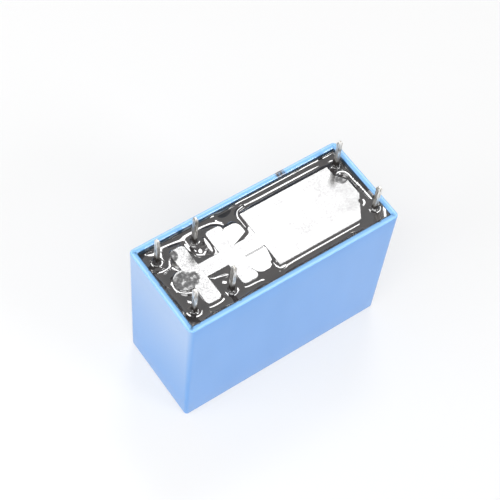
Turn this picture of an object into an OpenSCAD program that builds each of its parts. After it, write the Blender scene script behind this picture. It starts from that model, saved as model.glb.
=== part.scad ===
// A sealed two-pole printed-circuit power relay, standing on the closed end of its case, pins up.
// X runs from the contact end to the coil end, Y across the two poles, Z up through the pins.
// The inner pieces are drawn the way they are assembled, standing on the floor of the base,
// and stand() turns them over into the case.

/* [Case] */
// Outside length of the case at its open rim
case_l = 28.9; // [28.8:0.1:31]
// Outside width of the case at its open rim
case_w = 12.6; // [12.4:0.1:13.6]
// Height of the case from its closed end to its rim
case_h = 20.7; // [20.4:0.1:24]
// Thickness of the side walls
case_wall = 0.72; // [0.6:0.02:0.8]
// Thickness of the closed end
case_end_t = 0.9; // [0.7:0.05:1.2]
// Moulding draft: how far each side leans in between the rim and the closed end
case_draft = 0.25; // [0:0.05:0.35]
// Radius of the upright corners
case_corner_r = 0.6; // [0.45:0.05:1]
// Radius round the edge of the closed end
case_edge_r = 0.45; // [0.3:0.05:0.45]

/* [Base] */
// Depth of the base blocks below the rim of the case
rim_recess = 0.5; // [0.3:0.05:0.8]
// Thickness of the base plate under the wells
base_plate_t = 1.2; // [1:0.05:1.5]
// Height of the raised blocks above the bottom of the wells
base_block_h = 1.2; // [0.9:0.05:1.4]
// Width of the resin channel between the raised blocks and the long walls
channel_w = 1.55; // [1.1:0.01:1.6]
// Width of the spine that joins the blocks
spine_w = 1.9; // [1.4:0.1:2.4]
// Radius of the corners of the narrow blocks
block_r = 0.5; // [0.2:0.05:0.8]
// Radius of the round boss at the contact end
boss_r = 1.35; // [1:0.05:1.6]
// Depth of the round moulding marks on the coil block
mark_depth = 0.06; // [0.02:0.01:0.12]
// Radius of the larger moulding mark
mark_r = 0.6; // [0.4:0.05:0.7]
// Radius of the smaller moulding mark
small_mark_r = 0.32; // [0.2:0.02:0.4]
// Drop of the wall between the two poles below the pole face
barrier_drop = 3.6; // [2:0.2:6]
// Thickness of the wall between the two poles
barrier_t = 0.8; // [0.6:0.1:1]

/* [Sealing resin] */
// Drop of the level resin below the base blocks
resin_drop = 0.35; // [0.2:0.05:0.6]
// Drop of the pools over the unused positions
pool_drop = 0.06; // [0.02:0.02:0.15]
// Climb of the resin up the case wall
wall_climb = 0.3; // [0.1:0.05:0.45]
// Climb of the resin up each pin
pin_climb = 0.32; // [0.1:0.02:0.45]
// Radius of the resin collar at the foot of each pin
collar_r = 0.8; // [0.6:0.05:0.8]

/* [Pins] */
// Pitch of the contact pins along the case
pin_pitch = 5; // [5:0.04:5.08]
// Distance of the coil pins from the coil end of the case
coil_inset = 1.7; // [1.5:0.05:1.8]
// Distance between the two rows of pins
row_pitch = 7.5; // [7.4:0.02:7.62]
// Distance of the first pins from the contact end of the case
pin_inset = 2.2; // [2.1:0.05:2.4]
// Length of the outer contact pins above the rim
no_pin_l = 3.85; // [3:0.05:5]
// Length of the inner contact pins above the rim
com_pin_l = 4.2; // [3:0.05:5]
// Length of the coil pins above the rim
coil_pin_l = 4; // [3:0.05:5]
// Sheet thickness of the contact terminals
pin_t = 0.45; // [0.35:0.05:0.6]
// Width of a contact pin
pin_w = 0.65; // [0.5:0.05:0.9]
// Side of the square coil pins
coil_pin_s = 0.55; // [0.45:0.05:0.65]
// Length of the pointed tip of a pin
tip_l = 0.35; // [0.1:0.05:0.6]
// Width left at the end of the tip, as a share of the pin
tip_share = 0.5; // [0.3:0.05:0.9]

/* [Coil] */
// Gap between the coil and the side walls at the closed end
side_clear = 0.33; // [0.3:0.01:0.5]
// Gap between the open armature and the closed end
top_clear = 1.18; // [0.8:0.02:2]
// How far the winding lies inside the edge of the flanges
winding_inset = 0.3; // [0.25:0.05:0.6]
// Diameter of the core as a share of the diameter of the winding
core_share = 0.49; // [0.4:0.01:0.55]
// Wall of the tube of the bobbin
tube_wall = 0.7; // [0.5:0.05:0.9]
// Radius of the corners of the bobbin flanges
flange_r = 1.2; // [0.5:0.1:2]
// Distance between the flanges and the centre of the coil pins
flange_from_pin = 1.35; // [1.2:0.05:1.5]
// Thickness of the bobbin flanges
flange_t = 1; // [0.7:0.05:1.1]
// Thickness of the tape round the winding
tape_t = 0.1; // [0.05:0.05:0.2]
// Diameter of the winding wire at the leads
lead_d = 0.22; // [0.14:0.02:0.26]
// Height of the wrap posts above the bobbin
post_h = 2.4; // [2:0.1:3]

/* [Magnet] */
// How far the pole face lies inside the edge of the winding
pole_inset = 0.9; // [0.5:0.1:1.4]
// Thickness of the pole face
pole_t = 1; // [0.7:0.05:1.1]
// Sheet thickness of the yoke
yoke_t = 1.2; // [1:0.05:1.3]
// How much narrower the yoke is than the bobbin
yoke_step = 1.6; // [1.2:0.1:2.4]
// Distance of the yoke from the unused pin position
yoke_from_nc = 1.25; // [1.1:0.05:1.35]
// Sheet thickness of the armature
armature_t = 1.1; // [0.9:0.05:1.2]
// Angle that the armature stands open at rest
armature_open = 5; // [4:0.25:5]
// How far the armature ends short of the bobbin flange
armature_short = 1; // [0.6:0.1:2]

/* [Contacts] */
// Drop of the contacts below the pole face
contact_drop = 1.6; // [1.2:0.1:2.4]
// Diameter of the contact heads
contact_d = 3; // [2.4:0.1:3.2]
// Thickness of the contact heads
contact_t = 0.8; // [0.6:0.05:0.9]
// Gap between the open contacts
contact_gap = 0.92; // [0.9:0.02:1.1]
// Thickness of the moving contact springs
leaf_t = 0.2; // [0.12:0.02:0.25]
// Width of the contact springs and terminals
leaf_w = 3.4; // [2.8:0.1:3.6]
// Height of the terminal tab that carries a contact spring
tab_h = 4; // [3.5:0.1:4.5]
// Drop of the push point below the pole face
push_drop = 5.6; // [5.4:0.1:6]

/* [Fits] */
// Gap between the base and the case
base_fit = 0.06; // [0.04:0.01:0.1]
// Gap round the pins where they pass the base plate
slot_fit = 0.1; // [0.05:0.01:0.15]
// Gap round the core, rivets and studs
rivet_fit = 0.02; // [0.01:0.005:0.04]
// Gap between the resin and the drafted wall
resin_fit = 0.01; // [0.01:0.005:0.03]
// Gap left between the armature and the pole when it is closed
pole_fit = 0.03; // [0.02:0.01:0.06]
// Gap between the actuator and the contact springs at rest
push_fit = 0.06; // [0.05:0.01:0.1]

/* [Hidden] */
$fn = 64;
cut = 1;
hull_fn = 32;
block_z = case_h - rim_recess;
well_z = block_z - base_block_h;
floor_z = well_z - base_plate_t;
resin_z = block_z - resin_drop;
no_x = -case_l / 2 + pin_inset;
com_x = no_x + pin_pitch;
nc_x = com_x + pin_pitch;
coil_pin_x = case_l / 2 - coil_inset;
row_y = row_pitch / 2;
contact_pins = [for (x = [no_x, com_x], s = [-1, 1]) [x, s * row_y]];
coil_pins = [for (s = [-1, 1]) [coil_pin_x, s * row_y]];

// Raised blocks in plan
block_w = case_w - 2 * case_wall - 2 * channel_w;
well_no = 1.65;
well_com = [1.35, 1.5];
well_nc = [1.35, 1.4];
well_coil = 1.1;
coil_block_x = [nc_x + well_nc[1], coil_pin_x - well_coil];
outer_arm_x = [no_x + well_no, com_x - well_com[0]];
inner_arm_x = [com_x + well_com[1], nc_x - well_nc[0]];
boss_shift = 1.3;
boss_x = no_x + boss_shift;
block_nose = 1;
mark_shift = [0.38, 0.5];
mark_y = [1.65, -2];
pool_w = 2.65;

// Magnet system, measured up from the base floor
yoke_x = nc_x + yoke_from_nc;
yoke_clear = 0.2;
flange_w = 2 * (case_w / 2 - case_wall - case_draft - side_clear);
flange_x = [yoke_x + yoke_t + yoke_clear, coil_pin_x - flange_from_pin];
flange_l = flange_x[1] - flange_x[0];
coil_x = (flange_x[0] + flange_x[1]) / 2;
armature_l = flange_x[1] - armature_short - yoke_x;
armature_rise = armature_l * sin(armature_open) + armature_t + pole_fit;
pole_h = floor_z - case_end_t - top_clear - armature_rise;
winding_h = yoke_t + flange_t;
top_flange_h = pole_h - pole_t - flange_t;
winding_fit = 0.02;
winding_l = top_flange_h - winding_h - winding_fit;
winding_d = min(flange_w, flange_l) - 2 * winding_inset;
core_d = winding_d * core_share;
tube_d = core_d + 2 * tube_wall;
pole_d = winding_d - 2 * pole_inset;
yoke_w = flange_w - yoke_step;
spigot_step = 1.2;
spigot_d = core_d - spigot_step;
stud_d = 1.2;
stud_h = 4.4;
stud_head = 0.25;
rail_t = 0.7;
rail_drop = 0.3;
pin_wall = 0.25;
lead_room = 1;
lead_rise = 0.6;

// Armature arm and actuator in the closed position
arm_gap = 0.8;
arm_t = 1;
arm_in_x = yoke_x - arm_gap;
arm_out_x = arm_in_x - arm_t;
arm_side = 0.1;
arm_w = yoke_w + 2 * arm_side;
arm_slot_w = 3.6;
arm_slot_drop = 3.4;
arm_slot_h = pole_h - arm_slot_drop;
socket_drop = [6.6, 4.4];
socket_h = [pole_h - socket_drop[0], pole_h - socket_drop[1]];
socket_floor = 0.6;
socket_wall = [0.5, 0.4];
tongue_y = [arm_slot_w / 2 + socket_wall[0], arm_w / 2 - socket_wall[1]];
tongue_h = socket_h[0] + socket_floor;
bar_gap = 1.3;
bar_t = 0.9;
bar_x = [arm_out_x - bar_gap - bar_t, arm_out_x - bar_gap];
actuator_w = arm_w + 2 * arm_side;
finger_w = 2;
nose_r = 0.45;
push_h = pole_h - push_drop;

// Contact springs and fixed terminals
pole_y = flange_w / 2 - leaf_w / 2;
leaf_x = com_x - pin_t / 2 - leaf_t;
leaf_h = 1;
contact_h = pole_h - contact_drop;
no_blade_x = leaf_x - 2 * contact_t - contact_gap - pin_t;
contact_dome_r = 6;
shank_d = 1.2;
tail_d = 2;
tail_t = 0.25;
clamp_h = 2.4;
seat_t = 0.9;
seat_h = 0.8;
barrier_h = pole_h - barrier_drop;
barrier_end = [0.6, 1.4];
barrier_x = [no_x - barrier_end[0], com_x + barrier_end[1]];

// Hinge spring on the back of the yoke
strip_w = 2.6;
strip_t = 0.2;
strip_fit = 0.03;
strip_foot = 1.6;
strip_rise = 2.2;
strip_low = 0.6;
strip_top = 1.7;
strip_lip = [-0.3, 0.4];

// Half an inside size of the drafted case at height z
function inner_half(size, z) =
    size / 2 - case_wall - case_draft * (case_h - z) / (case_h - case_end_t);

// Where a point of the open armature lies once the armature has closed on the pole
function closed_place(p) =
    let (dx = p[0] - yoke_x, dh = p[1] - pole_h)
    [
        yoke_x + dx * cos(armature_open) + dh * sin(armature_open),
        pole_h - dx * sin(armature_open) + dh * cos(armature_open)
    ];

// Where a point of the closed armature lies while the armature stands open
function open_place(p) =
    let (dx = p[0] - yoke_x, dh = p[1] - pole_h)
    [
        yoke_x + dx * cos(armature_open) - dh * sin(armature_open),
        pole_h + dx * sin(armature_open) + dh * cos(armature_open)
    ];

// Turns pieces that stand on the base floor over into the case
module stand() {
    translate([0, 0, floor_z])
        mirror([0, 0, 1])
            children();
}

// A box from two opposite corners
module span(a, b) {
    translate(a)
        cube(b - a);
}

// A rectangle with round corners, centred on the origin
module rounded_rect(l, w, r) {
    square([l - 2 * r, w], center = true);
    square([l, w - 2 * r], center = true);
    for (sx = [-1, 1], sy = [-1, 1])
        translate([sx * (l / 2 - r), sy * (w / 2 - r)])
            circle(r);
}

// The side view of a pin with its tapered tip
module tip_profile(w, z0, z1) {
    polygon([
        [-w / 2, z0], [w / 2, z0], [w / 2, z1 - tip_l],
        [w / 2 * tip_share, z1], [-w / 2 * tip_share, z1], [-w / 2, z1 - tip_l]
    ]);
}

// A straight pin between two heights, tapered on all four sides at its tip
module pin_bar(t, w, z0, z1) {
    intersection() {
        rotate([90, 0, 0])
            linear_extrude(w, center = true)
                tip_profile(t, z0, z1);
        rotate([90, 0, 90])
            linear_extrude(t, center = true)
                tip_profile(w, z0, z1);
    }
}

// A rivet along Z: a domed head from z = 0 up, its shank and flattened tail below
module contact_rivet(sheet) {
    intersection() {
        cylinder(d = contact_d, h = contact_t);
        translate([0, 0, contact_t - contact_dome_r])
            sphere(contact_dome_r, $fn = 128);
    }
    translate([0, 0, -sheet])
        cylinder(d = shank_d, h = sheet);
    translate([0, 0, -sheet - tail_t])
        cylinder(d = tail_d, h = tail_t);
}

// The blue case: a drafted box with round edges, open at the top
module cover() {
    end_l = case_l - 2 * case_draft;
    end_w = case_w - 2 * case_draft;
    slab = 0.05;
    color([0.27, 0.47, 0.87])
        difference() {
            hull() {
                translate([0, 0, case_h - slab])
                    linear_extrude(slab)
                        rounded_rect(case_l, case_w, case_corner_r, $fn = hull_fn);
                for (sx = [-1, 1], sy = [-1, 1])
                    translate([sx * (end_l / 2 - case_edge_r), sy * (end_w / 2 - case_edge_r), case_edge_r])
                        sphere(case_edge_r, $fn = hull_fn);
                linear_extrude(slab)
                    square([end_l - 2 * case_edge_r, end_w - 2 * case_edge_r], center = true);
            }
            hull() {
                translate([0, 0, case_h])
                    linear_extrude(cut)
                        square([case_l - 2 * case_wall, case_w - 2 * case_wall], center = true);
                translate([0, 0, case_end_t])
                    linear_extrude(slab)
                        square([end_l - 2 * case_wall, end_w - 2 * case_wall], center = true);
            }
        }
}

// The raised blocks of the base in plan: coil block, spine, four arms and the round boss
module block_plan() {
    translate([coil_block_x[0], -block_w / 2])
        square([coil_block_x[1] - coil_block_x[0], block_w]);
    polygon([
        [coil_block_x[1] - cut, -block_w / 3], [coil_block_x[1], -block_w / 3],
        [coil_block_x[1] + block_nose, -block_w / 6], [coil_block_x[1] + block_nose, block_w / 6],
        [coil_block_x[1], block_w / 3], [coil_block_x[1] - cut, block_w / 3]
    ]);
    translate([boss_x, -spine_w / 2])
        square([coil_block_x[0] + cut - boss_x, spine_w]);
    translate([boss_x, 0])
        circle(boss_r);
    for (x = [outer_arm_x, inner_arm_x])
        translate([(x[0] + x[1]) / 2, 0])
            rounded_rect(x[1] - x[0], block_w, block_r);
}

// The holes for all pins in plan, with a gap all round
module pin_holes(gap) {
    for (p = contact_pins)
        translate(p)
            square([pin_t + 2 * gap, pin_w + 2 * gap], center = true);
    for (p = coil_pins)
        translate(p)
            square([coil_pin_s + 2 * gap, coil_pin_s + 2 * gap], center = true);
}

// The black base: plate, raised blocks outside; pole barrier, terminal seats and yoke rails inside
module base() {
    plate_l = 2 * inner_half(case_l, floor_z) - 2 * base_fit;
    plate_w = 2 * inner_half(case_w, floor_z) - 2 * base_fit;
    rail_y = yoke_w / 2 + base_fit;
    seat_x = pin_t / 2 + slot_fit;
    color([0.13, 0.13, 0.14]) {
        difference() {
            union() {
                translate([0, 0, floor_z])
                    linear_extrude(base_plate_t)
                        square([plate_l, plate_w], center = true);
                translate([0, 0, well_z])
                    linear_extrude(base_block_h)
                        block_plan();
            }
            translate([0, 0, floor_z - cut])
                linear_extrude(base_plate_t + 2 * cut)
                    pin_holes(slot_fit);
            translate([coil_block_x[1] + mark_shift[0], mark_y[0], block_z - mark_depth])
                cylinder(r = mark_r, h = mark_depth + cut);
            translate([coil_block_x[1] + mark_shift[1], mark_y[1], block_z - mark_depth])
                cylinder(r = small_mark_r, h = mark_depth + cut);
        }
        stand() {
            span([barrier_x[0], -barrier_t / 2, 0], [barrier_x[1], barrier_t / 2, barrier_h]);
            for (s = [-1, 1]) {
                translate([coil_x, s * (rail_y + rail_t / 2), 0])
                    span([-core_d, -rail_t / 2, 0], [pole_d / 2, rail_t / 2, yoke_t - rail_drop]);
                translate([com_x, s * pole_y, 0]) {
                    span([-seat_x - leaf_t - seat_t, -leaf_w / 2, 0], [-seat_x - leaf_t, leaf_w / 2, seat_h]);
                    span([seat_x, -leaf_w / 2, 0], [seat_x + seat_t, leaf_w / 2, seat_h]);
                }
            }
        }
    }
}

// The sealing resin: level fill round the blocks, pools over the unused positions,
// a sloped climb along the wall and a collar at the foot of each pin
module sealing_resin() {
    fill_l = 2 * inner_half(case_l, well_z) - 2 * resin_fit;
    fill_w = 2 * inner_half(case_w, well_z) - 2 * resin_fit;
    color([0.2, 0.19, 0.2])
        difference() {
            union() {
                translate([0, 0, well_z])
                    linear_extrude(resin_z - well_z)
                        difference() {
                            square([fill_l, fill_w], center = true);
                            block_plan();
                        }
                for (s = [-1, 1]) {
                    translate([inner_arm_x[1], s > 0 ? spine_w / 2 : -spine_w / 2 - pool_w, resin_z])
                        cube([coil_block_x[0] - inner_arm_x[1], pool_w, resin_drop - pool_drop]);
                    translate([0, s * fill_w / 2, resin_z])
                        rotate([90, 0, 90])
                            linear_extrude(fill_l, center = true)
                                polygon([[0, 0], [-s * wall_climb, 0], [0, wall_climb]]);
                    translate([s * fill_l / 2, 0, resin_z])
                        rotate([90, 0, 0])
                            linear_extrude(fill_w, center = true)
                                polygon([[0, 0], [-s * wall_climb, 0], [0, wall_climb]]);
                }
                intersection() {
                    for (p = concat(contact_pins, coil_pins))
                        translate([p[0], p[1], resin_z])
                            cylinder(r1 = collar_r, r2 = pin_w * 0.75, h = pin_climb);
                    translate([0, 0, resin_z])
                        linear_extrude(pin_climb)
                            square([fill_l, fill_w], center = true);
                }
            }
            translate([0, 0, well_z - cut])
                linear_extrude(base_block_h + 2 * cut)
                    pin_holes(0);
        }
}

// One fixed terminal: pin, foot on the base floor and the upright blade with its contact hole
module no_terminal(s) {
    color([0.78, 0.78, 0.76]) {
        translate([no_x, s * row_y, 0])
            pin_bar(pin_t, pin_w, floor_z - pin_t / 2, case_h + no_pin_l);
        stand()
            difference() {
                union() {
                    span(
                        [no_x - pin_t / 2, s * pole_y - leaf_w / 2, 0],
                        [no_blade_x + pin_t, s * pole_y + leaf_w / 2, pin_t]
                    );
                    span(
                        [no_blade_x, s * pole_y - leaf_w / 2, 0],
                        [no_blade_x + pin_t, s * pole_y + leaf_w / 2, contact_h + leaf_w / 2]
                    );
                }
                translate([no_blade_x - cut, s * pole_y, contact_h])
                    rotate([0, 90, 0])
                        cylinder(d = shank_d + 2 * rivet_fit, h = pin_t + 2 * cut);
            }
    }
}

// One common terminal: pin and the tab that carries a contact spring
module com_terminal(s) {
    color([0.78, 0.78, 0.76]) {
        translate([com_x, s * row_y, 0])
            pin_bar(pin_t, pin_w, floor_z - pin_t / 2, case_h + com_pin_l);
        stand()
            difference() {
                span(
                    [com_x - pin_t / 2, s * pole_y - leaf_w / 2, 0],
                    [com_x + pin_t / 2, s * pole_y + leaf_w / 2, tab_h]
                );
                translate([com_x - cut, s * pole_y, clamp_h])
                    rotate([0, 90, 0])
                        cylinder(d = shank_d + 2 * rivet_fit, h = 2 * cut);
            }
    }
}

// One square coil pin with its wrap post inside
module coil_pin(s) {
    color([0.78, 0.78, 0.76])
        translate([coil_pin_x, s * row_y, 0])
            pin_bar(coil_pin_s, coil_pin_s, floor_z - winding_h - post_h, case_h + coil_pin_l);
}

// The bobbin: tube, two flanges and the block that holds the coil pins
module bobbin() {
    color([0.9, 0.88, 0.82])
        stand()
            difference() {
                union() {
                    translate([coil_x, 0, yoke_t])
                        cylinder(d = tube_d, h = pole_h - pole_t - yoke_t);
                    for (h = [yoke_t, top_flange_h])
                        translate([coil_x, 0, h])
                            linear_extrude(flange_t)
                                rounded_rect(flange_l, flange_w, flange_r);
                    span(
                        [flange_x[1] - winding_inset, -flange_w / 2, 0],
                        [coil_pin_x + coil_pin_s / 2 + pin_wall, flange_w / 2, winding_h]
                    );
                }
                translate([coil_x, 0, 0])
                    cylinder(d = core_d + 2 * rivet_fit, h = pole_h + cut);
                for (s = [-1, 1])
                    translate([coil_pin_x, s * row_y, 0])
                        cube([coil_pin_s, coil_pin_s, 2 * (winding_h + cut)], center = true);
            }
}

// The copper winding as one roll
module coil_winding() {
    color([0.72, 0.36, 0.18])
        stand()
            translate([coil_x, 0, winding_h])
                difference() {
                    cylinder(d = winding_d, h = winding_l);
                    translate([0, 0, -cut])
                        cylinder(d = tube_d, h = winding_l + 2 * cut);
                }
}

// The insulating tape round the winding, clear of the leads
module coil_tape() {
    color([0.86, 0.72, 0.3])
        stand()
            translate([coil_x, 0, winding_h + lead_room])
                difference() {
                    cylinder(d = winding_d + 2 * tape_t, h = winding_l - lead_room);
                    translate([0, 0, -cut])
                        cylinder(d = winding_d, h = winding_l + 2 * cut);
                }
}

// One lead of the winding, wrapped round the post of its coil pin
module coil_lead(s) {
    turns = 5;
    wrap_r = coil_pin_s * 0.75 + lead_d / 2;
    wrap_h = winding_h + lead_rise;
    leave = 40;
    leave_r = winding_d / 2 + lead_d / 2;
    color([0.76, 0.42, 0.2])
        stand() {
            translate([coil_pin_x, s * row_y, wrap_h])
                for (i = [0:turns - 1])
                    translate([0, 0, i * lead_d * 0.9])
                        rotate_extrude()
                            translate([wrap_r, 0])
                                circle(d = lead_d, $fn = 24);
            hull() {
                translate([coil_x + leave_r * cos(leave), s * leave_r * sin(leave), winding_h + lead_d])
                    sphere(d = lead_d, $fn = 16);
                translate([coil_pin_x - wrap_r, s * row_y, wrap_h])
                    sphere(d = lead_d, $fn = 16);
            }
        }
}

// The iron core: spigot staked in the yoke, shaft and pole face
module core() {
    color([0.62, 0.63, 0.65])
        stand()
            translate([coil_x, 0, 0]) {
                cylinder(d = spigot_d, h = yoke_t);
                translate([0, 0, yoke_t])
                    cylinder(d = core_d, h = pole_h - pole_t - yoke_t);
                translate([0, 0, pole_h - pole_t])
                    cylinder(d = pole_d, h = pole_t);
            }
}

// The bent iron yoke: leg under the coil, upright leg and the stud of the hinge spring
module yoke() {
    color([0.6, 0.61, 0.63])
        stand()
            difference() {
                union() {
                    span([yoke_x, -yoke_w / 2, 0], [coil_x + pole_d / 2, yoke_w / 2, yoke_t]);
                    span([yoke_x, -yoke_w / 2, 0], [yoke_x + yoke_t, yoke_w / 2, pole_h]);
                    translate([yoke_x - strip_t - stud_head, 0, stud_h])
                        rotate([0, 90, 0])
                            cylinder(d = stud_d, h = strip_t + 2 * stud_head);
                }
                translate([coil_x, 0, -cut])
                    cylinder(d = spigot_d + 2 * rivet_fit, h = yoke_t + 2 * cut);
            }
}

// The leaf that swings the armature open: flat on the yoke, out through the slot and up the arm
module hinge_spring() {
    low = open_place([arm_out_x, arm_slot_h - strip_low]) - [strip_fit, 0];
    high = open_place([arm_out_x, pole_h - strip_top]) - [strip_fit, 0];
    side = [
        [yoke_x, stud_h - strip_foot], [yoke_x, stud_h + strip_rise], low, high, high + strip_lip
    ];
    back = [for (i = [len(side) - 1:-1:0]) side[i] - [strip_t, 0]];
    color([0.8, 0.66, 0.42])
        stand()
            difference() {
                rotate([90, 0, 0])
                    linear_extrude(strip_w, center = true)
                        polygon(concat(side, back));
                translate([yoke_x - cut, 0, stud_h])
                    rotate([0, 90, 0])
                        cylinder(d = stud_d + 2 * rivet_fit, h = 2 * cut);
            }
}

// Swings the closed armature open about the edge of the yoke
module swung_open() {
    translate([yoke_x, 0, pole_h])
        rotate([0, -armature_open, 0])
            translate([-yoke_x, 0, -pole_h])
                children();
}

// The iron armature: plate over the pole and the forked arm that carries the actuator
module armature() {
    under = pole_h + pole_fit;
    color([0.6, 0.61, 0.63])
        stand()
            swung_open() {
                span([arm_out_x, -arm_w / 2, under], [yoke_x + armature_l, arm_w / 2, under + armature_t]);
                difference() {
                    span([arm_out_x, -arm_w / 2, socket_h[1]], [arm_in_x, arm_w / 2, under]);
                    span([arm_out_x - cut, -arm_slot_w / 2, 0], [arm_in_x + cut, arm_slot_w / 2, arm_slot_h]);
                }
                for (s = [-1, 1])
                    translate([0, s * (tongue_y[0] + tongue_y[1]) / 2, 0])
                        span(
                            [arm_out_x, -(tongue_y[1] - tongue_y[0]) / 2, tongue_h],
                            [arm_in_x, (tongue_y[1] - tongue_y[0]) / 2, socket_h[1] + arm_side]
                        );
            }
}

// The plastic actuator: sockets on the two tongues, a bridge past the hinge spring and two fingers
module actuator() {
    nose = closed_place([leaf_x + leaf_t + push_fit + nose_r, push_h]);
    mid_h = (socket_h[0] + socket_h[1]) / 2;
    color([0.93, 0.92, 0.88])
        stand()
            swung_open() {
                difference() {
                    span([bar_x[0], -actuator_w / 2, socket_h[0]], [arm_in_x, actuator_w / 2, socket_h[1]]);
                    span([bar_x[1], -arm_slot_w / 2, 0], [arm_in_x + cut, arm_slot_w / 2, pole_h]);
                    for (s = [-1, 1])
                        translate([0, s * (tongue_y[0] + tongue_y[1]) / 2, 0])
                            span(
                                [arm_out_x, -(tongue_y[1] - tongue_y[0]) / 2, tongue_h],
                                [arm_in_x + cut, (tongue_y[1] - tongue_y[0]) / 2, pole_h]
                            );
                }
                for (s = [-1, 1])
                    translate([0, s * pole_y, 0])
                        rotate([90, 0, 0]) {
                            translate([nose[0], nose[1], -finger_w / 2])
                                cylinder(r = nose_r, h = finger_w);
                            linear_extrude(finger_w, center = true)
                                polygon([
                                    [nose[0], nose[1] - nose_r], [bar_x[0] + arm_side, mid_h - 2 * nose_r],
                                    [bar_x[0] + arm_side, mid_h + 2 * nose_r], [nose[0], nose[1] + nose_r]
                                ]);
                        }
            }
}

// One moving contact spring: a leaf clamped on its tab, with holes for clamp rivet and contact
module contact_spring(s) {
    color([0.8, 0.62, 0.36])
        stand()
            difference() {
                span(
                    [leaf_x, s * pole_y - leaf_w / 2, leaf_h],
                    [leaf_x + leaf_t, s * pole_y + leaf_w / 2, contact_h + leaf_w / 2]
                );
                for (h = [clamp_h, contact_h])
                    translate([leaf_x - cut, s * pole_y, h])
                        rotate([0, 90, 0])
                            cylinder(d = shank_d + 2 * rivet_fit, h = 2 * cut + leaf_t);
            }
}

// One rivet that clamps a contact spring to its tab
module spring_rivet(s) {
    color([0.75, 0.6, 0.32])
        stand()
            translate([leaf_x, s * pole_y, clamp_h])
                rotate([0, 90, 0]) {
                    translate([0, 0, -tail_t])
                        cylinder(d = tail_d, h = tail_t);
                    cylinder(d = shank_d, h = leaf_t + pin_t);
                    translate([0, 0, leaf_t + pin_t])
                        cylinder(d = tail_d, h = tail_t);
                }
}

// One moving contact on its spring, facing the contact end
module moving_contact(s) {
    color([0.85, 0.85, 0.86])
        stand()
            translate([leaf_x, s * pole_y, contact_h])
                rotate([0, -90, 0])
                    contact_rivet(leaf_t);
}

// One fixed contact on its terminal, facing the moving contact
module fixed_contact(s) {
    color([0.85, 0.85, 0.86])
        stand()
            translate([no_blade_x + pin_t, s * pole_y, contact_h])
                rotate([0, 90, 0])
                    contact_rivet(pin_t);
}

cover();
base();
sealing_resin();
no_terminal(-1);  // no_terminal_1
no_terminal(1);  // no_terminal_2
com_terminal(-1);  // com_terminal_1
com_terminal(1);  // com_terminal_2
coil_pin(-1);  // coil_pin_1
coil_pin(1);  // coil_pin_2
bobbin();
coil_winding();
coil_tape();
coil_lead(-1);  // coil_lead_1
coil_lead(1);  // coil_lead_2
core();
yoke();
hinge_spring();
armature();
actuator();
contact_spring(-1);  // contact_spring_1
contact_spring(1);  // contact_spring_2
spring_rivet(-1);  // spring_rivet_1
spring_rivet(1);  // spring_rivet_2
moving_contact(-1);  // moving_contact_1
moving_contact(1);  // moving_contact_2
fixed_contact(-1);  // fixed_contact_1
fixed_contact(1);  // fixed_contact_2
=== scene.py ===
"""Looks of a sealed printed-circuit power relay that stands on its closed end, pins up.

Shapes are worked out in millimetres as whole numpy arrays and put into meshes in metres.
X runs from the contact end to the coil end, Y across the two poles, Z up through the pins.
"""
import math

import bmesh
import bpy
import numpy as np
from mathutils import Matrix, Vector


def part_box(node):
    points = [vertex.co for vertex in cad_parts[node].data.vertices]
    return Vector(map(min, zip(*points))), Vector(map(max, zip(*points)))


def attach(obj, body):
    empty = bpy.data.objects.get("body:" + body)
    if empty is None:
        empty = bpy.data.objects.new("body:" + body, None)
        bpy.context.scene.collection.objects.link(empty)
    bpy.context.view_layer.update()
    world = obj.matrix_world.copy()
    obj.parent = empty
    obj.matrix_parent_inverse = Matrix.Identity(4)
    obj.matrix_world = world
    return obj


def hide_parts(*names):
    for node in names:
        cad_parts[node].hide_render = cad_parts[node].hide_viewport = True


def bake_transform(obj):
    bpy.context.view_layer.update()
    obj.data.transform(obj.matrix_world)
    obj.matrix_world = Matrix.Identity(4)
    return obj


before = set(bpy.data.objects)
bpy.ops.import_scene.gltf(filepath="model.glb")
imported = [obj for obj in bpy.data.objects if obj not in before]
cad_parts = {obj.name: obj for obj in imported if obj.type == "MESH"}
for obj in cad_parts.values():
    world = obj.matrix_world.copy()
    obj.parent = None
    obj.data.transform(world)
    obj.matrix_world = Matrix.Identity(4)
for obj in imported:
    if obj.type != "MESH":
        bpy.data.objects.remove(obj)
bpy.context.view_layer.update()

MM = 0.001

# Sizes of the case, in millimetres, read from the frame where it has them
cover_low, cover_high = (np.array(c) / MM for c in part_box("cover"))
CASE_HALF = cover_high[:2]
RIM_Z = cover_high[2]
CASE_WALL = 0.72
CASE_END = 0.9
CASE_DRAFT = 0.25
CASE_CORNER = 0.6
CASE_EDGE = 0.45
RIM_ROUND = 0.11
INNER_CORNER = 0.12

# Heights of the base and of the resin
BLOCK_Z = RIM_Z - 0.5
WELL_Z = BLOCK_Z - 1.2

# Raised blocks of the base in plan
BLOCK_HALF_W = 4.03
SPINE_HALF_W = 0.95
COIL_BLOCK_X = (-0.85, 11.65)
NOSE_L = 1.0
OUTER_ARM_X = (-10.6, -8.6)
INNER_ARM_X = (-5.75, -3.6)
ARM_CORNER = 0.5
BOSS_X = -10.95
BOSS_R = 1.35

# The camera: place in millimetres, its three axes and its lens
CAMERA_AT = Vector((-60.09703, -67.39558, 156.85086))
CAMERA_RIGHT = Vector((0.81900156, -0.56997612, 0.06605811))
CAMERA_UP = Vector((0.45192721, 0.71170629, 0.53780662))
CAMERA_BACK = Vector((-0.35355089, -0.41061101, 0.84047627))
LENS = 103.86
SENSOR = 36.0

# Resin smeared on the rim of the case: place in plan and radius
RIM_SMEARS = (
    (6.2, 5.9, 0.62), (-12.9, -5.55, 0.2), (-7.4, -5.55, 0.22),
    (12.0, -5.55, 0.25), (-13.7, 3.0, 0.16), (-13.7, 0.6, 0.2),
)

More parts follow.
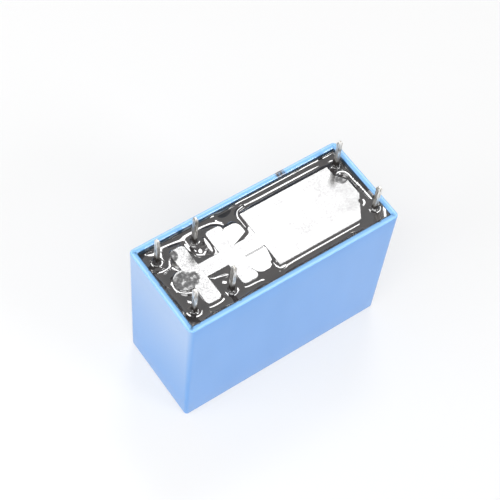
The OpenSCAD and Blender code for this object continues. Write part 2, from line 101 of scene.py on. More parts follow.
# Dull patches of the base: place in plan and radius
DULL_SPOTS = ((-11.15, -0.1, 1.2), (-10.1, -0.2, 0.8), (-10.7, 3.4, 0.85), (12.03, 1.65, 0.55))


def inner_half(z):
    """Half the inside length and width of the drafted case at height z."""
    return CASE_HALF - CASE_WALL - CASE_DRAFT * (RIM_Z - z) / (RIM_Z - CASE_END)


def pin_place(node):
    """Centre and half sides of a pin: the box of its vertices that stand above the rim."""
    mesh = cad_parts[node].data
    points = np.empty(len(mesh.vertices) * 3, np.float32)
    mesh.vertices.foreach_get("co", points)
    points = points.reshape(-1, 3) / MM
    points = points[points[:, 2] > RIM_Z]
    low, high = points.min(0)[:2], points.max(0)[:2]
    return (low + high) / 2, (high - low) / 2


PIN_NODES = [f"{kind}_{k}" for kind in ("no_terminal", "com_terminal", "coil_pin") for k in (1, 2)]
PINS = {node: pin_place(node) for node in PIN_NODES}


# Meshes

def grid_faces(rows, columns, wrap):
    """Corner numbers of the quads of a grid, row by row; wrap joins the last column to the first."""
    count = columns if wrap else columns - 1
    r, c = np.meshgrid(np.arange(rows - 1), np.arange(count), indexing="ij")
    n = (c + 1) % columns
    quads = np.stack([r * columns + c, r * columns + n, (r + 1) * columns + n, (r + 1) * columns + c], -1)
    return quads.reshape(-1, 4)


def new_piece(name, points, faces, material, smooth=None):
    """A piece of the frame body from points in millimetres and lists of corner numbers; faces
    after the first smooth ones are shaded flat."""
    mesh = bpy.data.meshes.new(name)
    mesh.from_pydata((np.asarray(points) * MM).tolist(), [], faces)
    mesh.polygons.foreach_set("use_smooth", np.arange(len(faces)) < (smooth or len(faces)))
    mesh.materials.append(material)
    mesh.update()
    piece = bpy.data.objects.new(name, mesh)
    bpy.context.scene.collection.objects.link(piece)
    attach(piece, "frame")
    return piece


# Materials

class Finish:
    """A node material under construction: one Principled shader and the nodes that feed it."""

    def __init__(self, name, **sockets):
        self.material = bpy.data.materials.new(name)
        self.material.use_nodes = True
        self.tree = self.material.node_tree
        self.shader = self.tree.nodes["Principled BSDF"]
        self.place = self.node("ShaderNodeTexCoord").outputs["Object"]
        for socket, value in sockets.items():
            self.shader.inputs[socket.replace("_", " ")].default_value = value

    def node(self, kind, **inputs):
        """A new node with its inputs set or linked by name."""
        made = self.tree.nodes.new(kind)
        for key, value in inputs.items():
            self.feed(made.inputs[key.replace("_", " ")], value)
        return made

    def feed(self, socket, value):
        """Link or set one input."""
        if isinstance(value, bpy.types.NodeSocket):
            self.tree.links.new(value, socket)
        else:
            socket.default_value = value

    def noise(self, grain_mm, detail=3.0, stretch=(1, 1, 1)):
        """Noise whose blotches are about grain_mm wide, drawn out along an axis by stretch."""
        mapping = self.node("ShaderNodeMapping", Vector=self.place)
        mapping.inputs["Scale"].default_value = tuple(1 / (grain_mm * MM * s) for s in stretch)
        return self.node("ShaderNodeTexNoise", Vector=mapping.outputs["Vector"], Scale=1.0, Detail=detail)

    def ramp(self, value, stops):
        """A colour ramp through (position, colour) stops."""
        made = self.node("ShaderNodeValToRGB", Fac=value)
        elements = made.color_ramp.elements
        for _ in stops[2:]:
            elements.new(0.5)
        for element, (position, colour) in zip(elements, stops):
            element.position = position
            element.color = (*colour, 1)
        return made.outputs["Color"]

    def scale(self, value, low, high, start=0.0, end=1.0):
        """Maps value from start..end to low..high."""
        made = self.node("ShaderNodeMapRange", Value=value)
        for key, number in (("From Min", start), ("From Max", end), ("To Min", low), ("To Max", high)):
            made.inputs[key].default_value = number
        return made.outputs["Result"]

    def mix(self, share, first, second):
        """Two colours mixed by share."""
        made = self.node("ShaderNodeMix")
        made.data_type = "RGBA"
        for socket, value in ((0, share), (6, first), (7, second)):
            self.feed(made.inputs[socket], value)
        return made.outputs[2]

    def math(self, operation, *values):
        """A math node on one or two values."""
        made = self.node("ShaderNodeMath")
        made.operation = operation
        for socket, value in zip(made.inputs, values):
            self.feed(socket, value)
        return made.outputs["Value"]

    def product(self, first, second):
        """Two values multiplied."""
        return self.math("MULTIPLY", first, second)

    def inside(self, half, soft):
        """1 inside a centred rectangle of half sizes in plan, falling to 0 over soft millimetres."""
        parts = self.node("ShaderNodeSeparateXYZ", Vector=self.place).outputs
        shares = [
            self.scale(self.math("ABSOLUTE", parts[axis]), 1.0, 0.0, (size - soft) * MM, size * MM)
            for axis, size in zip("XY", half)
        ]
        return self.product(*shares)

    def disc(self, centre, radius, soft):
        """1 inside an upright cylinder at centre in plan, falling to 0 over soft millimetres."""
        flat = self.node("ShaderNodeMapping", Vector=self.place)
        flat.inputs["Location"].default_value = (-centre[0] * MM, -centre[1] * MM, 0)
        flat.inputs["Scale"].default_value = (1, 1, 0)
        away = self.node("ShaderNodeVectorMath", Vector=flat.outputs["Vector"])
        away.operation = "LENGTH"
        return self.scale(away.outputs["Value"], 1.0, 0.0, (radius - soft) * MM, (radius + soft) * MM)

    def bump(self, height, depth_mm, strength=1.0, under=None):
        """A bump of a given depth, on top of another one if under is given."""
        made = self.node("ShaderNodeBump", Height=height, Strength=strength, Distance=depth_mm * MM)
        if under is not None:
            self.feed(made.inputs["Normal"], under)
        return made.outputs["Normal"]

    def set(self, socket, value):
        """Feed one socket of the shader."""
        self.feed(self.shader.inputs[socket], value)


def blue_case():
    """Light blue moulded plastic: satin gloss, a faint flow mottle and a fine grain. The
    contact end is painted deeper blue low down as shade and paler towards its top as a sheen
    of reflected light; the rim top is painted paler as a highlight and the inside just under
    the rim is painted dark navy as shade. Resin is smeared across the far rim and dabbed on
    the inner edge."""
    f = Finish("case_blue", IOR=1.5, Coat_Weight=0.6, Coat_IOR=1.6, Coat_Roughness=0.25)
    flow = f.noise(6.0, 2.0, (1, 1, 2.5)).outputs["Fac"]
    body = f.ramp(flow, [(0.3, (0.082, 0.292, 0.69)), (0.7, (0.1, 0.315, 0.722))])
    parts = f.node("ShaderNodeSeparateXYZ", Vector=f.place).outputs
    height = parts["Z"]
    # Painted light on the contact end: deeper blue low down stands for shade, paler towards the top for a
    # sheen of reflected light
    contact_end = f.scale(parts["X"], 1.0, 0.0, -(CASE_HALF[0] - 0.05) * MM, -(CASE_HALF[0] - 0.5) * MM)
    sheen_rise = f.scale(height, 0.0, 1.0, 3 * MM, 20 * MM)
    painted_sheen_and_shade = f.ramp(sheen_rise, [(0, (0.03, 0.265, 0.69)), (1, (0.249, 0.415, 0.702))])
    body = f.mix(contact_end, body, painted_sheen_and_shade)
    # Painted highlight: the rounded top of the rim is coloured paler blue
    rim = f.scale(height, 0.0, 1.0, (RIM_Z - 0.1) * MM, (RIM_Z - 0.02) * MM)
    outside = f.mix(rim, body, (0.25, 0.55, 0.95, 1))
    # Painted shade: the inside wall just under the rim is coloured dark navy
    inside = f.inside(inner_half(RIM_Z) + 0.04, 0.04)
    shaded = f.product(inside, f.scale(height, 1.0, 0.0, (RIM_Z - 0.14) * MM, (RIM_Z - 0.08) * MM))
    walls = f.mix(shaded, outside, (0.02, 0.045, 0.075, 1))
    fine = f.noise(0.12, 2.0).outputs["Fac"]
    blotch = f.scale(f.noise(0.4, 2.0).outputs["Fac"], 0.5, 1.0, 0.35, 0.5)
    smear = f.disc(RIM_SMEARS[0][:2], RIM_SMEARS[0][2], 0.15)
    for spot_x, spot_y, radius in RIM_SMEARS[1:]:
        smear = f.math("MAXIMUM", smear, f.disc((spot_x, spot_y), radius, 0.06))
    top = f.scale(height, 0.0, 1.0, (RIM_Z - 0.6) * MM, (RIM_Z - 0.1) * MM)
    smear = f.product(f.product(smear, blotch), top)
    f.set("Base Color", f.mix(smear, walls, (0.06, 0.06, 0.075, 1)))
    f.set("Roughness", f.scale(fine, 0.26, 0.36))
    f.set("Normal", f.bump(fine, 0.003, 0.6, f.bump(flow, 0.02, 0.5)))
    return f.material


def black_base():
    """Satin black moulded plastic, speckled and more worn towards the contact end, with ragged
    dull patches on the boss, at the far corner of the outer arm and in the moulding mark."""
    f = Finish("base_black", IOR=2.05, Coat_IOR=2.2)
    wave = f.noise(2.5, 1.0).outputs["Fac"]
    f.set("Base Color", f.ramp(wave, [(0.3, (0.02, 0.02, 0.022)), (0.7, (0.03, 0.03, 0.032))]))
    dull = f.disc(DULL_SPOTS[0][:2], DULL_SPOTS[0][2], 0.4)
    for spot_x, spot_y, radius in DULL_SPOTS[1:]:
        dull = f.math("MAXIMUM", dull, f.disc((spot_x, spot_y), radius, 0.4))
    ragged = f.noise(0.8, 3.0).outputs["Fac"]
    dull = f.scale(f.math("ADD", dull, ragged), 0.0, 1.0, 0.88, 1.12)
    fine = f.noise(0.08, 2.0).outputs["Fac"]
    coarse = f.noise(0.42, 4.0).outputs["Fac"]
    rough = f.product(dull, f.scale(coarse, 0.04, 0.5, 0.36, 0.58))
    f.set("Roughness", f.math("ADD", f.scale(fine, 0.22, 0.3), rough))
    f.set("Coat Roughness", f.math("ADD", f.scale(fine, 0.22, 0.26), rough))
    length = f.node("ShaderNodeSeparateXYZ", Vector=f.place).outputs["X"]
    worn = f.scale(length, 0.52, 0.26, -10 * MM, -2 * MM)
    speckle = f.product(worn, f.scale(f.noise(0.25, 4.0).outputs["Fac"], 1.0, 0.0, 0.36, 0.6))
    f.set("Coat Weight", f.math("SUBTRACT", f.scale(wave, 0.72, 1.0, 0.3, 0.58), speckle))
    f.set("Normal", f.bump(f.product(dull, coarse), 0.06, 0.7))
    return f.material


def dark_resin():
    """Dark glossy casting resin with a faint brown cloud in it."""
    f = Finish("resin_dark", IOR=1.8, Coat_Weight=1.0, Coat_IOR=1.8, Coat_Roughness=0.04)
    cloud = f.noise(1.8, 2.0).outputs["Fac"]
    f.set("Base Color", f.ramp(cloud, [(0.35, (0.03, 0.029, 0.031)), (0.7, (0.05, 0.044, 0.043))]))
    fine = f.noise(0.3, 2.0).outputs["Fac"]
    f.set("Roughness", f.scale(fine, 0.05, 0.1))
    return f.material


def tinned_pin():
    """Dipped tin on copper alloy: dull bright metal with lengthwise streaks, and a foot that
    is near black and less metallic up to a ragged edge about a millimetre above the rim."""
    f = Finish("tinned")
    streak = f.noise(0.16, 3.0, (1, 1, 6)).outputs["Fac"]
    tin = f.ramp(streak, [(0.34, (0.3, 0.28, 0.25)), (0.5, (0.78, 0.76, 0.72)), (0.7, (0.95, 0.94, 0.92))])
    height = f.node("ShaderNodeSeparateXYZ", Vector=f.place).outputs["Z"]
    blob = f.noise(0.35, 2.0, (1, 1, 2)).outputs["Fac"]
    edge = f.math("ADD", height, f.scale(blob, -0.25 * MM, 0.25 * MM, 0.3, 0.7))
    # Near black, less metallic foot, up to a ragged edge above the rim
    dark_foot = f.scale(edge, 1.0, 0.0, (RIM_Z + 0.3) * MM, (RIM_Z + 1.3) * MM)
    dark_foot = f.product(dark_foot, f.scale(height, 0.0, 1.0, (WELL_Z - 1.0) * MM, (WELL_Z - 0.4) * MM))
    f.set("Base Color", f.mix(dark_foot, tin, (0.025, 0.02, 0.018, 1)))
    f.set("Metallic", f.scale(dark_foot, 1.0, 0.2))
    f.set("Roughness", f.scale(streak, 0.48, 0.28, 0.3, 0.7))
    f.set("Normal", f.bump(streak, 0.012, 0.6, f.bump(blob, 0.05, 0.6)))
    return f.material


def plain_finish(name, colours, grain_mm, roughness, metallic=0.0, stretch=(1, 1, 1), depth_mm=0.004):
    """A finish with two colours mixed by noise, and roughness and bump from the same noise."""
    f = Finish(name, Metallic=metallic)
    grain = f.noise(grain_mm, 3.0, stretch).outputs["Fac"]
    f.set("Base Color", f.ramp(grain, [(0.3, colours[0]), (0.7, colours[1])]))
    f.set("Roughness", f.scale(grain, *roughness))
    f.set("Normal", f.bump(grain, depth_mm, 0.6))
    return f.material


FINISHES = {
    "case_blue": blue_case(),
    "base_black": black_base(),
    "resin_dark": dark_resin(),
    "tinned": tinned_pin(),
    "bobbin_natural": plain_finish(
        "bobbin_natural", ((0.72, 0.68, 0.58), (0.8, 0.77, 0.68)), 0.6, (0.35, 0.5)),
    "copper": plain_finish(
        "copper", ((0.5, 0.17, 0.06), (0.75, 0.3, 0.13)), 0.12, (0.2, 0.35), 1.0, (40, 40, 1), 0.03),
    "tape_amber": plain_finish(
        "tape_amber", ((0.62, 0.42, 0.08), (0.72, 0.52, 0.14)), 1.5, (0.2, 0.32)),
    "iron": plain_finish("iron", ((0.42, 0.42, 0.43), (0.58, 0.58, 0.6)), 0.25, (0.28, 0.45), 1.0),
    "spring_bronze": plain_finish(
        "spring_bronze", ((0.6, 0.33, 0.16), (0.74, 0.45, 0.24)), 0.2, (0.2, 0.35), 1.0, (1, 1, 8)),
    "actuator_white": plain_finish(
        "actuator_white", ((0.76, 0.76, 0.74), (0.84, 0.84, 0.82)), 0.5, (0.35, 0.5)),
    "rivet_brass": plain_finish(
        "rivet_brass", ((0.66, 0.47, 0.2), (0.78, 0.6, 0.3)), 0.2, (0.2, 0.35), 1.0),
    "contact_silver": plain_finish(
        "contact_silver", ((0.78, 0.77, 0.74), (0.9, 0.89, 0.87)), 0.2, (0.15, 0.3), 1.0),
}


# The case

ARC_STEPS = 10


def rounded_ring(half_l, half_w, radius, guard=0.25):
    """A rounded rectangle as four quarter arcs, with one guard point on the straight
    run just before and just after each arc so that the flats shade flat."""
    start = np.arange(4)[:, None] * math.pi / 2
    angle = start + np.linspace(0, math.pi / 2, ARC_STEPS)[None, :]
    sign_x = np.array([1, -1, -1, 1])[:, None]
    sign_y = np.array([1, 1, -1, -1])[:, None]
    x = sign_x * (half_l - radius) + radius * np.cos(angle)
    y = sign_y * (half_w - radius) + radius * np.sin(angle)
    before = np.stack([x[:, :1] + guard * np.sin(start), y[:, :1] - guard * np.cos(start)], -1)
    end = start + math.pi / 2
    after = np.stack([x[:, -1:] - guard * np.sin(end), y[:, -1:] + guard * np.cos(end)], -1)
    return np.concatenate([before, np.stack([x, y], -1), after], 1).reshape(-1, 2)


def case_shell():
    """The case as one closed skin: a profile of (inset, height, corner radius) rows carried
    round a rounded rectangle. The rows go from the closed end over its edge, up the drafted
    wall, over the rim and down the inside to the inner floor; a flat face closes each end."""
    quarter = np.linspace(0, math.pi / 2, 8)
    edge = np.stack([
        CASE_DRAFT + CASE_EDGE * (1 - np.sin(quarter)),
        CASE_EDGE * (1 - np.cos(quarter)),
        np.maximum(CASE_EDGE * np.sin(quarter), 0.02)], -1)
    floor_guard = np.array([[CASE_DRAFT + CASE_EDGE + 0.3, 0, 0.02]])
    rise = np.linspace(0, 1, 8)[1:, None]
    wall_top = np.array([[0, RIM_Z - RIM_ROUND, CASE_CORNER]])
    wall = edge[-1:] * (1 - rise) + wall_top * rise
    rim_out = np.stack([
        RIM_ROUND * (1 - np.cos(quarter)),
        RIM_Z - RIM_ROUND + RIM_ROUND * np.sin(quarter),
        CASE_CORNER - RIM_ROUND * (1 - np.cos(quarter))], -1)[1:]
    rim_in = np.stack([
        CASE_WALL - RIM_ROUND * np.cos(quarter),
        RIM_Z - RIM_ROUND + RIM_ROUND * np.sin(math.pi / 2 - quarter),
        np.full(8, INNER_CORNER + RIM_ROUND) - RIM_ROUND * np.sin(quarter)], -1)
    depth = np.linspace(0, 1, 6)[1:, None]
    inner_foot = np.array([[CASE_WALL + CASE_DRAFT, CASE_END, INNER_CORNER]])
    inside = rim_in[-1:] * (1 - depth) + inner_foot * depth
    rows = np.concatenate([floor_guard, edge, wall, rim_out, rim_in, inside])
    rings = [
        np.column_stack([rounded_ring(*(CASE_HALF - inset), radius), np.full(4 * (ARC_STEPS + 2), z)])
        for inset, z, radius in rows
    ]
    points = np.concatenate(rings)
    around = len(rings[0])
    faces = grid_faces(len(rings), around, True).tolist()
    faces.append(list(range(around))[::-1])
    faces.append(list(range(len(points) - around, len(points))))
    shell = new_piece("case_shell", points, faces, FINISHES["case_blue"])
    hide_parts("cover")
    return shell


# The resin

GRID_STEP = 0.058
SETTLE_STEPS = 3500
FILM_REACH = 2.0
FILM_CUP = 0.32
FILM_LEVEL = BLOCK_Z - 0.3
EDGE_DROP = 0.08
PIN_FOOT = BLOCK_Z - 0.2
RESIN_TOP = RIM_Z - 0.06

# Lines in plan where the resin set in a level step: half the width of the crest, distance from
# the line where the step ends, rise, and the points of the line
SET_LINES = (
    (0.06, 0.3, 0, ((-8.45, -1.14), (-8.0, -1.38), (-7.3, -1.6), (-6.4, -1.84))),
    (0.07, 0.3, 0, ((-12.25, 0.62), (-12.5, 0.0), (-12.48, -0.5), (-12.2, -1.05), (-11.7, -1.45),
                    (-11.0, -1.8))),
    (0.11, 0.3, 0, ((-13.4, 2.95), (-13.0, 2.65), (-12.5, 2.4), (-11.9, 2.4), (-11.4, 2.5),
                    (-11.1, 2.1), (-10.8, 1.5))),
    (0.11, 0.3, 0, ((-11.4, 2.5), (-10.9, 3.2))),
    (0.14, 0.32, 0, ((11.95, 2.82), (12.7, 2.76), (13.15, 2.5), (13.34, 1.9), (13.36, 0.4),
                     (13.38, -1.2), (13.4, -2.4))),
    (0.06, 0.3, 0, ((-1.3, -3.3), (-1.22, -4.1), (-1.0, -4.42), (-0.3, -4.4))),
    (0.05, 0.3, 0, ((-13.4, 5.5), (-12.8, 5.45), (-12.0, 5.32))),
    (0.05, 0.5, -0.05, ((-11.3, 5.2), (-10.0, 5.06), (-9.0, 4.92), (-8.3, 4.8), (-7.6, 5.05),
                        (-5.4, 5.05), (-4.2, 4.9), (-3.45, 4.45), (-3.1, 3.9))),
    (0.06, 0.3, 0, ((-1.2, 2.2), (-1.2, 3.6), (-1.12, 4.2), (-0.7, 4.68), (0.2, 4.86))),
    (0.1, 0.3, 0, ((-8.3, 4.0), (-8.34, 3.5), (-8.2, 2.8), (-7.9, 2.2), (-7.3, 1.8), (-6.75, 2.05))),
)

# Level rings part of the way round the pins, and a small one beside the nose of the coil block:
# radius, half the width of the crest, first and last angle
SET_RINGS = (
    ("no_terminal_2", 0.64, 0.09, 150, 350), ("no_terminal_1", 0.5, 0.06, 180, 350),
    ("no_terminal_1", 0.88, 0.09, 170, 330), ("com_terminal_1", 0.44, 0.05, 180, 350),
    ("com_terminal_1", 0.74, 0.08, 165, 355), ("com_terminal_2", 0.5, 0.05, 170, 330),
    ("coil_pin_1", 0.68, 0.09, 160, 350), ("coil_pin_2", 0.54, 0.08, 170, 350),
    ("small_ring", 0.38, 0.05, -130, 50),
)
SMALL_RING_AT = (12.1, -2.25)
BLISTER_AT, BLISTER_R, BLISTER_RISE = (-7.3, 2.45), 0.25, 0.04


def smooth_step(share):
    """Rises smoothly from 0 to 1 while share goes from 0 to 1."""
    share = np.clip(share, 0, 1)
    return share * share * (3 - 2 * share)


def between(value, low, high, soft):
    """1 between low and high, falling smoothly to 0 over soft about each of them."""
    return smooth_step((value - low) / soft + 0.5) * smooth_step((high - value) / soft + 0.5)


def box_distance(x, y, low, high, radius=0.0):
    """Signed distance to a rectangle with round corners, negative inside."""
    dx = np.abs(x - (low[0] + high[0]) / 2) - (high[0] - low[0]) / 2 + radius
    dy = np.abs(y - (low[1] + high[1]) / 2) - (high[1] - low[1]) / 2 + radius
    outside = np.hypot(np.maximum(dx, 0), np.maximum(dy, 0))
    return outside + np.minimum(np.maximum(dx, dy), 0) - radius


def nose_distance(x, y):
    """Signed distance, about, to the blunt nose of the coil block: the furthest of three planes."""
    x1 = COIL_BLOCK_X[1]
    run, rise = NOSE_L, BLOCK_HALF_W / 6 * 2 - BLOCK_HALF_W / 3 * 2
    flank = (np.abs(y) - BLOCK_HALF_W / 3 * 2) * run - (x - x1) * rise
    flank = flank / math.hypot(run, rise)
    return np.maximum(np.maximum(x - x1 - NOSE_L, flank), x1 - 1 - x)


def block_distance(x, y):
    """Signed distance to the raised blocks: the nearest of coil block, nose, spine, arms and boss."""
    w = BLOCK_HALF_W
    spine = box_distance(x, y, (BOSS_X, -SPINE_HALF_W), (COIL_BLOCK_X[0] + 1, SPINE_HALF_W))
    nearest = np.minimum(spine, box_distance(x, y, (COIL_BLOCK_X[0], -w), (COIL_BLOCK_X[1], w)))
    for arm in (OUTER_ARM_X, INNER_ARM_X):
        nearest = np.minimum(nearest, box_distance(x, y, (arm[0], -w), (arm[1], w), ARM_CORNER))
    nearest = np.minimum(nearest, np.hypot(x - BOSS_X, y) - BOSS_R)
    return np.minimum(nearest, nose_distance(x, y))


def film_supports(x, y):
    """Heights that hold the film, and no number where it hangs free: the four walls, the edges
    of the blocks, the two level pools over the unused positions, a tongue of resin beside the
    inner arm, and the pins."""
    held = np.full(x.shape, np.nan)
    far = BLOCK_Z - 0.15 - 0.07 * smooth_step(-3.5 - x) - 0.35 * between(x, -3.0, -1.0, 1.2)
    near = BLOCK_Z + 0.41 - 0.85 * between(x, -3.4, -1.3, 1.0)
    left = BLOCK_Z + 0.42 - 0.3 * smooth_step((y - 0.2) / 2)
    held[:, -1] = far[:, -1]
    held[:, 0] = near[:, 0]
    held[0, :] = left[0, :]
    held[-1, :] = BLOCK_Z - 0.27
    blocks = block_distance(x, y)
    held = np.where(blocks < 0, BLOCK_Z - EDGE_DROP, held)
    slant = (0.96 + (x + 3.4) * 0.4 - y) * 0.93
    far_pool = np.maximum(box_distance(x, y, (-4.1, 0.4), (-1.62, 3.42), 0.8), slant)
    lean = np.clip((-1.6 - y) / 2.1, 0, 1)
    narrowed = -2.5 + (x + 2.5) * 1.1 / (1.65 - 0.55 * lean)
    near_pool = box_distance(narrowed, y, (-3.6, -3.86), (-1.4, -0.4), 0.9)
    seam = between(x, -3.6, -1.0, 0.3) * np.exp(-((y + 1.06) / 0.07) ** 2)
    pool_z = BLOCK_Z + 0.004 + 0.02 * np.minimum(blocks, 0) - 0.016 * seam
    held = np.where(np.minimum(far_pool, near_pool) < 0, pool_z, held)
    tongue = np.hypot((x + 6.2 - 0.1 * (y - 2.5)) / 0.24, (y - 2.5) / 1.1) - 1
    held = np.where((tongue < 0) & (blocks > 0), BLOCK_Z - 0.02, held)
    for centre, side in PINS.values():
        held = np.where(box_distance(x, y, centre - side, centre + side) < 0, PIN_FOOT, held)
    return held


def film_cup(x, y):
    """How much the film sags: more in the wells of the contact end, along the channels
    beside the blocks, and in the channel of the coil end."""
    arms = between(x, *OUTER_ARM_X, 0.4) + between(x, *INNER_ARM_X, 0.4)
    coil = smooth_step((x + 1.5) / 0.6)
    far = 0.18 * coil + 0.27 * smooth_step(x - 0.4)
    beside = 0.5 * (y < -BLOCK_HALF_W) * (arms + coil) + far * (y > BLOCK_HALF_W)
    wells = (x < OUTER_ARM_X[0]) | (np.abs(x + 7.2) < 1.4)
    coil_end = 0.5 * (x > COIL_BLOCK_X[1] + 0.5)
    return FILM_CUP + beside + 0.4 * (wells & (np.abs(y) < BLOCK_HALF_W)) + coil_end


def settled_film(x, y):
    """A stretched film that hangs from its supports, relaxed on the grid: each free point
    becomes the mean of its four neighbours and, by the share (step / reach) squared, of the
    level, less cup times step squared."""
    held = film_supports(x, y)
    height = np.where(np.isnan(held), FILM_LEVEL, held)
    pull = (GRID_STEP / FILM_REACH) ** 2
    sink = (film_cup(x, y) * GRID_STEP ** 2)[1:-1, 1:-1]
    free = np.isnan(held)[1:-1, 1:-1]
    for _ in range(SETTLE_STEPS):
        near = height[2:, 1:-1] + height[:-2, 1:-1] + height[1:-1, 2:] + height[1:-1, :-2]
        settled = (near + pull * FILM_LEVEL - sink) / (4 + pull)
        height[1:-1, 1:-1] = np.where(free, settled, height[1:-1, 1:-1])
    return height


def running_mean(values, span):
    """The mean of each value and its neighbours, span of them in all, the ends repeated."""
    return np.convolve(np.pad(values, span // 2, mode="edge"), np.ones(span) / span, "valid")


def level_along(height, x, y, path, crest, foot, rise=0.0):
    """Levels the surface along a line in plan: on its crest it has the mean height of the line
    mixed with the local one, of which a longer line keeps more, and it joins the old surface by
    a smooth step that ends a distance foot from the line."""
    path = np.array(path)
    run = np.concatenate([[0], np.cumsum(np.hypot(*np.diff(path, axis=0).T))])
    at = np.linspace(0, run[-1], max(int(run[-1] / 0.05), 10))
    line = np.stack([running_mean(np.interp(at, run, path[:, k]), 9) for k in (0, 1)], -1)
    spacing = (x[1, 0] - x[0, 0], y[0, 1] - y[0, 0])
    i, j = np.round((line - (x[0, 0], y[0, 0])) / spacing).astype(int).T
    along = running_mean(height[i, j], min(61, len(line) // 2 * 2 - 1))
    level = np.clip(5 / run[-1], 0.3, 0.8)
    along = level * along.mean() + (1 - level) * along + rise
    reach = int(foot / GRID_STEP) + 2
    window = np.s_[max(i.min() - reach, 0):i.max() + reach, max(j.min() - reach, 0):j.max() + reach]
    gap = np.hypot(x[window][..., None] - line[:, 0], y[window][..., None] - line[:, 1])
    share = 1 - smooth_step((gap.min(-1) - crest) / (foot - crest))
    height[window] += share * (along[gap.argmin(-1)] - height[window])


def resin_height(x, y):
    """Height of the set resin. On the settled film lie a sloping skin over the near coil corner,
    a straight fillet that softens into the film at the far wall, a fillet at the coil end and
    collars at the pins that fall off exponentially, level steps along the drawn lines and rings,
    and a blister."""
    height = settled_film(x, y)
    half = np.array([x.max(), y.max()])
    beyond = (x - 11.7) * 0.832 - (y + 2.4) * 0.5547
    skin = BLOCK_Z + 0.43 - 0.15 * np.hypot(beyond - 2.87, 0.1)
    blend = np.clip((skin - height) / 0.06, -1, 1)
    crest = np.maximum(height, skin) + 0.015 * (1 - np.abs(blend)) ** 2
    height = np.where((beyond > -0.1) & (y < 0.6) & (x > 10), crest, height)
    climb = 0.4 + 0.6 * smooth_step((x + 6) / 2)
    height += climb * 0.027 * np.log1p(np.exp((y - half[1] + 0.13) / 0.03))
    height += 0.15 * np.exp((x - half[0]) / 0.12) * smooth_step(y + 4)
    for centre, side in PINS.values():
        away = np.maximum(box_distance(x, y, centre - side, centre + side, side.min()), 0)
        height += 0.35 * np.exp(-away / 0.12)
    for width, foot, rise, path in SET_LINES:
        level_along(height, x, y, path, width, foot, rise)
    for pin, radius, width, first, last in SET_RINGS:
        turn = np.radians(np.linspace(first, last, 30))
        centre = PINS[pin][0] if pin in PINS else np.array(SMALL_RING_AT)
        ring = centre + radius * np.stack([np.cos(turn), np.sin(turn)], -1)
        level_along(height, x, y, ring, width, width + 0.12)
    spot = np.array(BLISTER_AT)
    level_along(height, x, y, (spot - 0.02, spot + 0.02), BLISTER_R, BLISTER_R + 0.12, BLISTER_RISE)
    return np.minimum(height, RESIN_TOP)


def resin_fill():
    """The resin as one closed piece: its height over a grid of the inside of the case, a
    skirt down to the bottom of the wells and one flat face underneath."""
    half = inner_half(WELL_Z) - 0.005
    columns = int(2 * half[0] / GRID_STEP) + 1
    rows = int(2 * half[1] / GRID_STEP) + 1
    along = np.linspace(-half[0], half[0], columns)
    across = np.linspace(-half[1], half[1], rows)
    x, y = np.meshgrid(along, across, indexing="ij")
    top = np.stack([x, y, resin_height(x, y)], -1).reshape(-1, 3)
    surface = grid_faces(columns, rows, False)[:, ::-1]
    number = np.arange(columns * rows).reshape(columns, rows)
    rim = np.concatenate([number[:-1, 0], number[-1, :-1], number[:0:-1, -1], number[0, :0:-1]])
    foot = top[rim].copy()
    foot[:, 2] = WELL_Z + 0.002
    low = len(top) + np.arange(len(rim))
    skirt = np.stack([rim, low, np.roll(low, -1), np.roll(rim, -1)], -1)
    points = np.concatenate([top, foot])
    faces = np.concatenate([surface, skirt]).tolist()
    faces.append(low[::-1].tolist())
    fill = new_piece("resin_fill", points, faces, FINISHES["resin_dark"], len(surface))
    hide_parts("sealing_resin")
    return fill


# Solids of the frame with eased edges

SLOT_OF = {
    "base": "base_black", "bobbin": "bobbin_natural", "coil_winding": "copper", "coil_tape": "tape_amber",
    "coil_lead_1": "copper", "coil_lead_2": "copper", "core": "iron", "yoke": "iron", "armature": "iron",
    "hinge_spring": "spring_bronze", "actuator": "actuator_white",
    "contact_spring_1": "spring_bronze", "contact_spring_2": "spring_bronze",
    "spring_rivet_1": "rivet_brass", "spring_rivet_2": "rivet_brass",
    "moving_contact_1": "contact_silver", "moving_contact_2": "contact_silver",
    "fixed_contact_1": "contact_silver", "fixed_contact_2": "contact_silver",
}


def merged_copy(node, name, slot, cuts=(), smooth=True):
    """A copy of a solid with its loose triangles merged to whole faces, and cut across at the
    heights in cuts."""
    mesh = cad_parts[node].data.copy()
    work = bmesh.new()
    work.from_mesh(mesh)
    bmesh.ops.remove_doubles(work, verts=work.verts, dist=0.0005 * MM)
    bmesh.ops.dissolve_limit(work, angle_limit=math.radians(0.5), verts=work.verts, edges=work.edges)
    for z in cuts:
        geometry = [*work.verts, *work.edges, *work.faces]
        bmesh.ops.bisect_plane(work, geom=geometry, dist=1e-8, plane_co=(0, 0, z * MM), plane_no=(0, 0, 1))
    work.to_mesh(mesh)
    work.free()
    if "custom_normal" in mesh.attributes:
        mesh.attributes.remove(mesh.attributes["custom_normal"])
    mesh.polygons.foreach_set("use_smooth", np.full(len(mesh.polygons), smooth))
    mesh.materials.clear()
    mesh.materials.append(FINISHES[slot])
    piece = bpy.data.objects.new(name, mesh)
    bpy.context.scene.collection.objects.link(piece)
    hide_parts(node)
    return piece


def bent_spring(node, root_z, free_z):
    """A flat-shaded merged copy of a spring, cut across at 17 heights from root_z down to
    free_z, with its placement baked into its points."""
    spring = merged_copy(node, node + "_leaf", SLOT_OF[node], np.linspace(root_z, free_z, 17), False)
    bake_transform(spring)
    return spring


def eased_copy(node, slot, radius_mm, steps=3):
    """A merged copy of a solid with its sharp edges rounded by a bevel; it stands for the solid."""
    piece = merged_copy(node, node + "_eased", slot)
    bevel = piece.modifiers.new("eased_edges", "BEVEL")
    bevel.width = radius_mm * MM
    bevel.segments = steps
    bevel.limit_method = "ANGLE"
    bevel.angle_limit = math.radians(40)
    bevel.harden_normals = True
    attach(piece, "frame")
    return piece


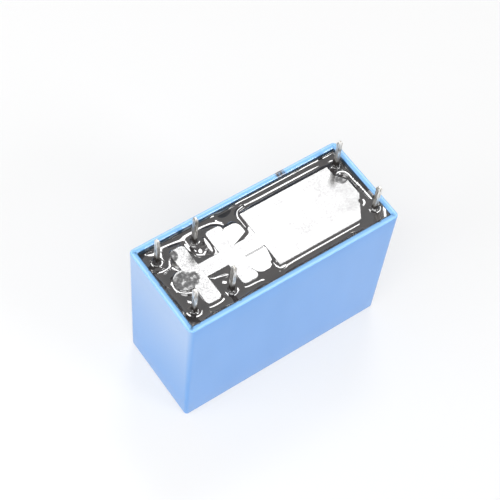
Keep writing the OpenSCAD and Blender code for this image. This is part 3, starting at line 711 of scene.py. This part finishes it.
def dress_frame():
    """Gives every solid that stays its finish."""
    for node, slot in SLOT_OF.items():
        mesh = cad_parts[node].data
        mesh.materials.clear()
        mesh.materials.append(FINISHES[slot])


case_shell()
resin_fill()
eased_copy("base", "base_black", 0.08)
for pin in PIN_NODES:
    eased_copy(pin, "tinned", 0.07)
for spring in ("contact_spring_1", "contact_spring_2"):
    bent_spring(spring, 13.8, 11.2)
bent_spring("hinge_spring", 11.2, 8.35)
dress_frame()


# Stage, light and camera

def soft_lamp(name, direction, distance, size, level):
    """A square lamp in a direction from the part; level is its brightness as seen from the part."""
    data = bpy.data.lights.new(name, "AREA")
    data.shape = "RECTANGLE"
    data.size, data.size_y = size
    data.energy = level * math.pi * size[0] * size[1]
    lamp = bpy.data.objects.new(name, data)
    away = Vector(direction).normalized()
    lamp.location = away * distance + Vector((0, 0, RIM_Z * MM))
    lamp.rotation_mode = "QUATERNION"
    lamp.rotation_quaternion = away.to_track_quat("Z", "Y")
    bpy.context.scene.collection.objects.link(lamp)
    return lamp


def bearing(zenith):
    """Direction that leans from straight up towards the camera by zenith degrees."""
    flat = Vector((CAMERA_BACK.x, CAMERA_BACK.y, 0)).normalized()
    lean = math.radians(zenith)
    return flat * math.sin(lean) + Vector((0, 0, 1)) * math.cos(lean)


soft_lamp("back_box", bearing(-33), 2.0, (0.5, 0.42), 8.5)
soft_lamp("camera_fill", bearing(38), 1.2, (0.9, 0.7), 3.4)
soft_lamp("front_card", (0.42, -0.8, 0.42), 1.0, (0.34, 0.26), 11.0)
soft_lamp("left_card", (-1, 0.1, 0.5), 0.2, (0.15, 0.125), 2.9)

# The floor shines a little where it is seen, straight or in a mirror, so that it is white and
# still keeps SHADOW_SHARE of the shadow
FLOOR = 1.5
FLOOR_WHITE = 0.8
SHADOW_SHARE = 0.5
floor_mesh = bpy.data.meshes.new("floor")
floor_corners = np.array([(-1, -1, 0), (1, -1, 0), (1, 1, 0), (-1, 1, 0)]) * FLOOR
floor_mesh.from_pydata(floor_corners.tolist(), [], [(0, 1, 2, 3)])
floor = bpy.data.objects.new("floor", floor_mesh)
bpy.context.scene.collection.objects.link(floor)
floor_finish = Finish("floor_white", Roughness=0.6)
rays = floor_finish.node("ShaderNodeLightPath").outputs
seen = floor_finish.math("MAXIMUM", rays["Is Camera Ray"], rays["Is Glossy Ray"])
seen = floor_finish.math("MAXIMUM", seen, rays["Is Transmission Ray"])
floor_finish.set("Base Color", floor_finish.scale(seen, FLOOR_WHITE, FLOOR_WHITE * SHADOW_SHARE))
floor_finish.set("Emission Color", (1, 1, 1, 1))
floor_finish.set("Emission Strength", floor_finish.scale(seen, 0, 1.01 - SHADOW_SHARE))
floor_mesh.materials.append(floor_finish.material)

world = bpy.data.worlds.new("studio")
bpy.context.scene.world = world
world.use_nodes = True
world.node_tree.nodes["Background"].inputs["Color"].default_value = (1, 1, 1, 1)
world.node_tree.nodes["Background"].inputs["Strength"].default_value = 0.46

camera_data = bpy.data.cameras.new("camera")
camera_data.lens = LENS
camera_data.sensor_width = SENSOR
camera_data.clip_start = 0.01
camera_data.clip_end = 10
camera = bpy.data.objects.new("camera", camera_data)
bpy.context.scene.collection.objects.link(camera)
turn = Matrix((CAMERA_RIGHT, CAMERA_UP, CAMERA_BACK)).transposed().to_4x4()
camera.matrix_world = Matrix.Translation(CAMERA_AT * MM) @ turn
bpy.context.scene.camera = camera
bpy.context.scene.view_settings.view_transform = "Standard"
